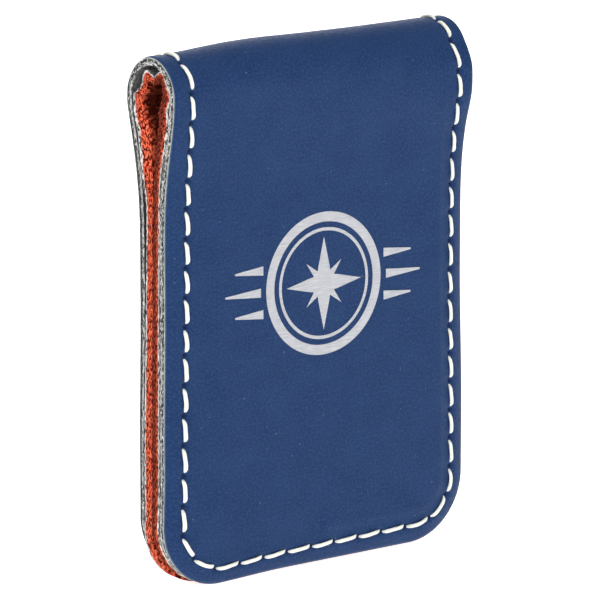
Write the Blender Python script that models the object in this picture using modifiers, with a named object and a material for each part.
"""Magnetic money clip: a stitched leatherette strap folded over into two legs.

Frame: metres, +Z up, X along the fold, the front leg towards -Y.  The origin is
at the middle of the bottom edge, between the two legs.

On the real clip the cover and the lining are one strip each.  Here both are
split at three hinge lines round the fold, because the strap bends there.  The
chain of hinges opens the front leg from closed (0 degrees) to flat (180).
"""
from math import atan2, cos, pi, radians, sin, sqrt

import bmesh
import bpy
from mathutils import Matrix

MM = 0.001

# Outline of each leg
WIDTH = 44.45 * MM
HEIGHT = 63.5 * MM
HALF_WIDTH = WIDTH / 2
CORNER_RADIUS = 8.0 * MM
CORNER_STEPS = 6

# Side profile, measured from the plane between the legs to the cover's outside
EDGE_HALF = 2.56 * MM
PANEL_HALF = 3.8 * MM
LOOP_HALF = 4.6 * MM
LOOP_CENTRE_Z = 58.3 * MM
LOOP_RISE = HEIGHT - LOOP_CENTRE_Z
FLARE_START = 37.0 * MM
FLARE_POWER = 2.4
PANEL_TOP = 44.0 * MM
RIDGE_INSET = 4.3 * MM

# Layers, as depths below the cover's outside
COVER_THICKNESS = 1.05 * MM
LINING_TOP = 1.4 * MM
LINING_THICKNESS = 1.0 * MM
LINING_BOTTOM = LINING_TOP + LINING_THICKNESS

# Seam: a groove that the thread is pulled down into, all round each leg
SEAM_INSET = 2.35 * MM
STITCH_PITCH = 3.46 * MM
NEEDLE_THREAD_RADIUS = 0.36 * MM
NEEDLE_GROOVE_DEPTH = 0.62 * MM
NEEDLE_GROOVE_HALF = 0.62 * MM
NEEDLE_LIFT_AT_HOLE = -0.1 * MM
NEEDLE_LIFT_MIDWAY = 0.0 * MM
BOBBIN_THREAD_RADIUS = 0.24 * MM
BOBBIN_GROOVE_DEPTH = 0.66 * MM
BOBBIN_GROOVE_HALF = 0.45 * MM
BOBBIN_SINK = 0.28 * MM
GROOVE_DRAFT = 0.08 * MM

# Fold: hinge lines every 60 degrees of slope, on the cover's outside
HINGE_SLOPES = [radians(slope) for slope in (-60, 0, 60)]
HINGE_GAP = 0.4 * MM
FOLD_STEPS = 8
HINGE_GAP_HALF_ANGLE = HINGE_GAP / 2 / sqrt(LOOP_HALF * LOOP_RISE)

# Stiffener board and magnets inside each leg
CLEARANCE = 0.3 * MM
BOARD_INNER_Y = EDGE_HALF - LINING_TOP + CLEARANCE
BOARD_THICKNESS = 1.0 * MM
BOARD_HALF_WIDTH = 17.2 * MM
BOARD_BOTTOM = 5.2 * MM
BOARD_TOP = 44.0 * MM
BOARD_CORNER = 3.2 * MM
MAGNET_SIZE_X = 12.0 * MM
MAGNET_SIZE_Z = 6.0 * MM
MAGNET_X = 8.5 * MM
MAGNET_Z = 11.5 * MM
MAGNET_BEVEL = 0.15 * MM

REAR = 1
FRONT = -1
SMOOTH_ANGLE = radians(35)


# Side profile of the strap

def smoothstep(value):
    """Smooth rise from 0 to 1."""
    clamped = min(max(value, 0.0), 1.0)
    return clamped * clamped * (3.0 - 2.0 * clamped)


def edge_height(z):
    """Distance of the cover's cut edge from the plane between the legs."""
    flare = smoothstep((z - FLARE_START) / (LOOP_CENTRE_Z - FLARE_START)) ** FLARE_POWER
    return EDGE_HALF + (LOOP_HALF - EDGE_HALF) * flare


def panel_height(z):
    """Distance of the raised panel from the plane between the legs."""
    rise = smoothstep((z - PANEL_TOP) / (LOOP_CENTRE_Z - PANEL_TOP))
    return PANEL_HALF + (LOOP_HALF - PANEL_HALF) * rise


def leg_height(z, crown):
    """Outside of a leg at a height: crown 0 is the cut edge, 1 the raised panel."""
    if z > LOOP_CENTRE_Z:
        share = (z - LOOP_CENTRE_Z) / LOOP_RISE
        return LOOP_HALF * sqrt(1.0 - share * share)
    return edge_height(z) * (1.0 - crown) + panel_height(z) * crown


def leg_point(side, x, z, crown, depth):
    """Point of a leg, a depth below the outside along the side profile's normal."""
    step = 0.01 * MM
    slope = (leg_height(z + step, crown) - leg_height(z - step, crown)) / (2 * step)
    length = sqrt(1.0 + slope * slope)
    y = leg_height(z, crown) - depth / length
    return (x, side * y, z + depth * slope / length)


def fold_point(slope_angle, x, depth):
    """Point of the fold: slope 0 is its top, -90 degrees the rear, 90 the front."""
    turn = atan2(LOOP_HALF * sin(slope_angle), LOOP_RISE * cos(slope_angle))
    y = -LOOP_HALF * sin(turn) + depth * sin(slope_angle)
    z = LOOP_CENTRE_Z + LOOP_RISE * cos(turn) - depth * cos(slope_angle)
    return (x, y, z)


LEG_TOP = fold_point(HINGE_SLOPES[-1] + HINGE_GAP_HALF_ANGLE, 0.0, 0.0)[2]
LEG_ROWS = [CORNER_RADIUS, 22.0 * MM, FLARE_START, 40.5 * MM, PANEL_TOP, 47.0 * MM, 49.5 * MM,
            52.0 * MM, 54.5 * MM, 56.5 * MM, LOOP_CENTRE_Z, 59.3 * MM, 60.3 * MM, LEG_TOP]


# Scene helpers

def clear_scene():
    """Remove what the scene starts with."""
    for obj in list(bpy.data.objects):
        bpy.data.objects.remove(obj, do_unlink=True)


def make_collection(name):
    """New collection in the scene."""
    collection = bpy.data.collections.new(name)
    bpy.context.scene.collection.children.link(collection)
    return collection


def make_material(name, colour, roughness, metallic=0.0):
    """Plain Principled material."""
    material = bpy.data.materials.new(name)
    material.use_nodes = True
    shader = material.node_tree.nodes["Principled BSDF"]
    shader.inputs["Base Color"].default_value = (*colour, 1.0)
    shader.inputs["Roughness"].default_value = roughness
    shader.inputs["Metallic"].default_value = metallic
    return material


def leatherette_material():
    return make_material("navy_leatherette", (0.027, 0.060, 0.157), 0.55)


def suede_material():
    return make_material("orange_red_suede", (0.60, 0.075, 0.035), 0.95)


def thread_material():
    return make_material("ivory_thread", (0.80, 0.79, 0.74), 0.7)


def board_material():
    return make_material("stiffener_board", (0.35, 0.33, 0.30), 0.85)


def magnet_material():
    return make_material("nickel_plated_magnet", (0.62, 0.62, 0.64), 0.3, 1.0)


def finish_object(obj, collection, material, parent):
    """Link an object, give it its material and hang it on its hinge's empty."""
    collection.objects.link(obj)
    obj.data.materials.append(material)
    if parent is not None:
        obj.parent = parent
        obj.matrix_parent_inverse = Matrix.Translation(parent.matrix_world.translation).inverted()
    return obj


def mesh_object(name, bm):
    """Object from a closed bmesh, with its faces pointing out and shaded smooth."""
    bmesh.ops.recalc_face_normals(bm, faces=bm.faces[:])
    mesh = bpy.data.meshes.new(name)
    bm.to_mesh(mesh)
    bm.free()
    mesh.shade_smooth()
    mesh.set_sharp_from_angle(angle=SMOOTH_ANGLE)
    return bpy.data.objects.new(name, mesh)


# Sheets: cover and lining

def bridge(bm, first, second):
    """Quads between two rows of vertices."""
    for index in range(len(first) - 1):
        bm.faces.new((first[index], first[index + 1], second[index + 1], second[index]))


def outline_ring(inset):
    """(x, z) of the leg's outline moved inwards, from the left top to the right top."""
    radius = CORNER_RADIUS - inset
    centre_x = HALF_WIDTH - CORNER_RADIUS
    left = [(-HALF_WIDTH + inset, z) for z in reversed(LEG_ROWS)]
    for step in range(1, CORNER_STEPS + 1):
        angle = radians(90) * step / CORNER_STEPS
        left.append((-centre_x - radius * cos(angle), CORNER_RADIUS - radius * sin(angle)))
    return left + [(-x, z) for x, z in reversed(left)]


def leg_surface(bm, side, rings, raised):
    """One face of a leg's sheet: rings of (inset, depth), then the middle.

    Returns the vertices of each ring.
    """
    rows = []
    for inset, depth in rings:
        crown = min(inset / RIDGE_INSET, 1.0) if raised else 0.0
        points = [leg_point(side, x, z, crown, depth) for x, z in outline_ring(inset)]
        rows.append([bm.verts.new(point) for point in points])
    for first, second in zip(rows, rows[1:]):
        bridge(bm, first, second)
    middle = rows[-1]
    flat_top = PANEL_TOP if raised else FLARE_START
    curved_rows = sum(1 for z in LEG_ROWS if z > flat_top)
    last = len(middle) - 1
    for row in range(curved_rows):
        bm.faces.new((middle[row], middle[row + 1], middle[last - row - 1], middle[last - row]))
    bm.faces.new(middle[curved_rows:last + 1 - curved_rows])
    return rows


def across_top(rows):
    """The vertices of a surface's top edge, from left to right."""
    return [row[0] for row in rows] + [row[-1] for row in reversed(rows)]


def leg_sheet(name, side, outer_rings, inner_rings, raised):
    """Closed sheet of one leg: two surfaces, the cut edge and the end at the fold."""
    bm = bmesh.new()
    outer = leg_surface(bm, side, outer_rings, raised)
    inner = leg_surface(bm, side, inner_rings, raised)
    bridge(bm, outer[0], inner[0])
    bm.faces.new(across_top(outer) + across_top(inner)[::-1])
    return mesh_object(name, bm)


def fold_sheet(name, start, end, outer_columns, inner_columns):
    """Closed sheet of one fold segment, between two slopes."""
    bm = bmesh.new()
    surfaces = []
    for columns in (outer_columns, inner_columns):
        left = [(-HALF_WIDTH + inset, depth) for inset, depth in columns]
        across = left + [(-x, depth) for x, depth in reversed(left)]
        rows = []
        for step in range(FOLD_STEPS + 1):
            slope = start + (end - start) * step / FOLD_STEPS
            rows.append([bm.verts.new(fold_point(slope, x, depth)) for x, depth in across])
        for first, second in zip(rows, rows[1:]):
            bridge(bm, first, second)
        surfaces.append(rows)
    outer, inner = surfaces
    for column in (0, -1):
        bridge(bm, [row[column] for row in outer], [row[column] for row in inner])
    for row in (0, -1):
        bm.faces.new(outer[row] + inner[row][::-1])
    return mesh_object(name, bm)


def grooved_columns(surface_depth, groove_depth, groove_half, limit):
    """(inset, depth) across a surface with the seam's groove, from the cut edge."""
    floor = surface_depth + groove_depth
    outer_wall = SEAM_INSET - groove_half
    inner_wall = SEAM_INSET + groove_half
    return [(0.0, surface_depth), (outer_wall, surface_depth), (outer_wall + GROOVE_DRAFT, floor),
            (inner_wall - GROOVE_DRAFT, floor), (inner_wall, surface_depth), (limit, surface_depth)]


def plain_columns(surface_depth):
    """(inset, depth) across a surface without a groove."""
    return [(0.0, surface_depth), (RIDGE_INSET, surface_depth)]


COVER_OUTSIDE = grooved_columns(0.0, NEEDLE_GROOVE_DEPTH, NEEDLE_GROOVE_HALF, RIDGE_INSET)
COVER_INSIDE = plain_columns(COVER_THICKNESS)
LINING_OUTSIDE = plain_columns(LINING_TOP)
LINING_INSIDE = grooved_columns(LINING_BOTTOM, -BOBBIN_GROOVE_DEPTH, BOBBIN_GROOVE_HALF, RIDGE_INSET)


# Threads

def thread(name, points, radius):
    """Round thread through a row of points, closed at both ends."""
    curve = bpy.data.curves.new(name, "CURVE")
    curve.dimensions = "3D"
    curve.bevel_depth = radius
    curve.bevel_resolution = 2
    curve.use_fill_caps = True
    spline = curve.splines.new("POLY")
    spline.points.add(len(points) - 1)
    for point, place in zip(spline.points, points):
        point.co = (*place, 1.0)
    spline.use_smooth = True
    return bpy.data.objects.new(name, curve)


SEAM_SIDE_LENGTH = LEG_TOP - CORNER_RADIUS
SEAM_CORNER_LENGTH = (CORNER_RADIUS - SEAM_INSET) * pi / 2
SEAM_BOTTOM_HALF = HALF_WIDTH - CORNER_RADIUS
SEAM_HALF_LENGTH = SEAM_SIDE_LENGTH + SEAM_CORNER_LENGTH + SEAM_BOTTOM_HALF


def seam_half(distance):
    """(x, z) on the left half of the seam, measured down from the leg's top."""
    radius = CORNER_RADIUS - SEAM_INSET
    if distance < SEAM_SIDE_LENGTH:
        return (-HALF_WIDTH + SEAM_INSET, LEG_TOP - distance)
    if distance < SEAM_SIDE_LENGTH + SEAM_CORNER_LENGTH:
        angle = (distance - SEAM_SIDE_LENGTH) / radius
        return (-SEAM_BOTTOM_HALF - radius * cos(angle), CORNER_RADIUS - radius * sin(angle))
    return (distance - SEAM_HALF_LENGTH, SEAM_INSET)


def seam_place(distance):
    """(x, z) anywhere on the seam, from the left top round to the right top."""
    if distance <= SEAM_HALF_LENGTH:
        return seam_half(distance)
    x, z = seam_half(2 * SEAM_HALF_LENGTH - distance)
    return (-x, z)


def leg_thread(name, side, raised, hole_depth, midway_depth, radius):
    """Thread round one leg: pulled down at each needle hole, higher midway."""
    stitches = round(2 * SEAM_HALF_LENGTH / STITCH_PITCH)
    margin = CLEARANCE + radius
    length = 2 * (SEAM_HALF_LENGTH - margin)
    crown = SEAM_INSET / RIDGE_INSET if raised else 0.0
    points = []
    for half_stitch in range(2 * stitches + 1):
        x, z = seam_place(margin + length * half_stitch / (2 * stitches))
        depth = midway_depth if half_stitch % 2 else hole_depth
        points.append(leg_point(side, x, z, crown, depth))
    return thread(name, points, radius)


def fold_stitch(name, x, start, end, hole_depth, midway_depth, radius):
    """The length of seam that a fold segment carries at each edge."""
    margin = radians(4)
    points = []
    for step in range(FOLD_STEPS + 1):
        share = step / FOLD_STEPS
        slope = start + margin + (end - start - 2 * margin) * share
        depth = hole_depth + (midway_depth - hole_depth) * sin(pi * share)
        points.append(fold_point(slope, x, depth))
    return thread(name, points, radius)


# Inserts

def arc(centre_x, centre_y, radius, first_quarter, steps=4):
    """Points of a quarter circle, starting at a multiple of 90 degrees."""
    angles = [radians(90) * (first_quarter + step / steps) for step in range(steps + 1)]
    return [(centre_x + radius * cos(angle), centre_y + radius * sin(angle)) for angle in angles]


def rounded_rectangle(half_x, low, high, radius):
    """Outline of the board, anticlockwise."""
    inner_x = half_x - radius
    return (arc(inner_x, high - radius, radius, 0) + arc(-inner_x, high - radius, radius, 1)
            + arc(-inner_x, low + radius, radius, 2) + arc(inner_x, low + radius, radius, 3))


def magnet_window(centre_x):
    """Outline of one window in the board."""
    half_x = MAGNET_SIZE_X / 2 + CLEARANCE
    half_z = MAGNET_SIZE_Z / 2 + CLEARANCE
    return [(centre_x + sign_x * half_x, MAGNET_Z + sign_z * half_z)
            for sign_x, sign_z in ((-1, -1), (-1, 1), (1, 1), (1, -1))]


def stiffener_board(name, side):
    """Flat board with two windows, standing inside a leg."""
    curve = bpy.data.curves.new(name, "CURVE")
    curve.dimensions = "2D"
    curve.fill_mode = "BOTH"
    curve.extrude = BOARD_THICKNESS / 2
    outlines = [rounded_rectangle(BOARD_HALF_WIDTH, BOARD_BOTTOM, BOARD_TOP, BOARD_CORNER)]
    outlines += [magnet_window(sign * MAGNET_X) for sign in (-1, 1)]
    for outline in outlines:
        spline = curve.splines.new("POLY")
        spline.points.add(len(outline) - 1)
        for point, (x, y) in zip(spline.points, outline):
            point.co = (x, y, 0.0, 1.0)
        spline.use_cyclic_u = True
    board = bpy.data.objects.new(name, curve)
    board.rotation_euler = (radians(90), 0.0, 0.0)
    board.location = (0.0, side * (BOARD_INNER_Y + BOARD_THICKNESS / 2), 0.0)
    return board


def magnet(name, side, x):
    """Block magnet in a window of the board."""
    bm = bmesh.new()
    bmesh.ops.create_cube(bm, size=1.0)
    bmesh.ops.scale(bm, vec=(MAGNET_SIZE_X, BOARD_THICKNESS, MAGNET_SIZE_Z), verts=bm.verts[:])
    block = mesh_object(name, bm)
    block.location = (x, side * (BOARD_INNER_Y + BOARD_THICKNESS / 2), MAGNET_Z)
    bevel = block.modifiers.new("soft_edges", "BEVEL")
    bevel.width = MAGNET_BEVEL
    bevel.segments = 1
    return block


# Assembly

def make_hinge_empties(collection):
    """A chain of empties on the hinge lines; the front leg hangs on the last."""
    empties = []
    for number, slope in enumerate(HINGE_SLOPES, start=1):
        empty = bpy.data.objects.new(f"fold_hinge_{number}_axis", None)
        empty.empty_display_size = HALF_WIDTH
        collection.objects.link(empty)
        empty.location = fold_point(slope, 0.0, 0.0)
        if empties:
            parent = empties[-1]
            empty.parent = parent
            empty.matrix_parent_inverse = Matrix.Translation(parent.matrix_world.translation).inverted()
        bpy.context.view_layer.update()
        empties.append(empty)
    return empties


def build_leg(collection, materials, name, side, parent):
    """Everything that moves with one leg."""
    cover = leg_sheet(f"{name}_leg_cover", side, COVER_OUTSIDE, COVER_INSIDE, True)
    finish_object(cover, collection, materials["leatherette"], parent)
    lining = leg_sheet(f"{name}_leg_lining", side, LINING_OUTSIDE, LINING_INSIDE, False)
    finish_object(lining, collection, materials["suede"], parent)
    needle = leg_thread(f"{name}_leg_needle_thread", side, True,
                        -NEEDLE_LIFT_AT_HOLE, -NEEDLE_LIFT_MIDWAY, NEEDLE_THREAD_RADIUS)
    finish_object(needle, collection, materials["thread"], parent)
    bobbin_depth = LINING_BOTTOM - BOBBIN_SINK
    bobbin = leg_thread(f"{name}_leg_bobbin_thread", side, False,
                        bobbin_depth, bobbin_depth, BOBBIN_THREAD_RADIUS)
    finish_object(bobbin, collection, materials["thread"], parent)
    board = stiffener_board(f"{name}_stiffener_board", side)
    finish_object(board, collection, materials["board"], parent)
    for label, x in (("left", -MAGNET_X), ("right", MAGNET_X)):
        block = magnet(f"{name}_magnet_{label}", side, x)
        finish_object(block, collection, materials["magnet"], parent)


def build_fold_segment(collection, materials, number, parent):
    """One segment of the fold, between hinge lines number and number + 1."""
    start = HINGE_SLOPES[number - 1] + HINGE_GAP_HALF_ANGLE
    end = HINGE_SLOPES[number] - HINGE_GAP_HALF_ANGLE
    cover = fold_sheet(f"fold_{number}_cover", start, end, COVER_OUTSIDE, COVER_INSIDE)
    finish_object(cover, collection, materials["leatherette"], parent)
    lining = fold_sheet(f"fold_{number}_lining", start, end, LINING_OUTSIDE, LINING_INSIDE)
    finish_object(lining, collection, materials["suede"], parent)
    bobbin_depth = LINING_BOTTOM - BOBBIN_SINK
    for label, sign in (("left", -1), ("right", 1)):
        x = sign * (HALF_WIDTH - SEAM_INSET)
        needle = fold_stitch(f"fold_{number}_needle_stitch_{label}", x, start, end,
                             -NEEDLE_LIFT_AT_HOLE, -NEEDLE_LIFT_MIDWAY, NEEDLE_THREAD_RADIUS)
        finish_object(needle, collection, materials["thread"], parent)
        bobbin = fold_stitch(f"fold_{number}_bobbin_stitch_{label}", x, start, end,
                             bobbin_depth, bobbin_depth, BOBBIN_THREAD_RADIUS)
        finish_object(bobbin, collection, materials["thread"], parent)


def main():
    clear_scene()
    collection = make_collection("money_clip")
    materials = {
        "leatherette": leatherette_material(),
        "suede": suede_material(),
        "thread": thread_material(),
        "board": board_material(),
        "magnet": magnet_material(),
    }
    hinges = make_hinge_empties(collection)
    build_leg(collection, materials, "rear", REAR, None)
    for number in range(1, len(hinges)):
        build_fold_segment(collection, materials, number, hinges[number - 1])
    build_leg(collection, materials, "front", FRONT, hinges[-1])


main()
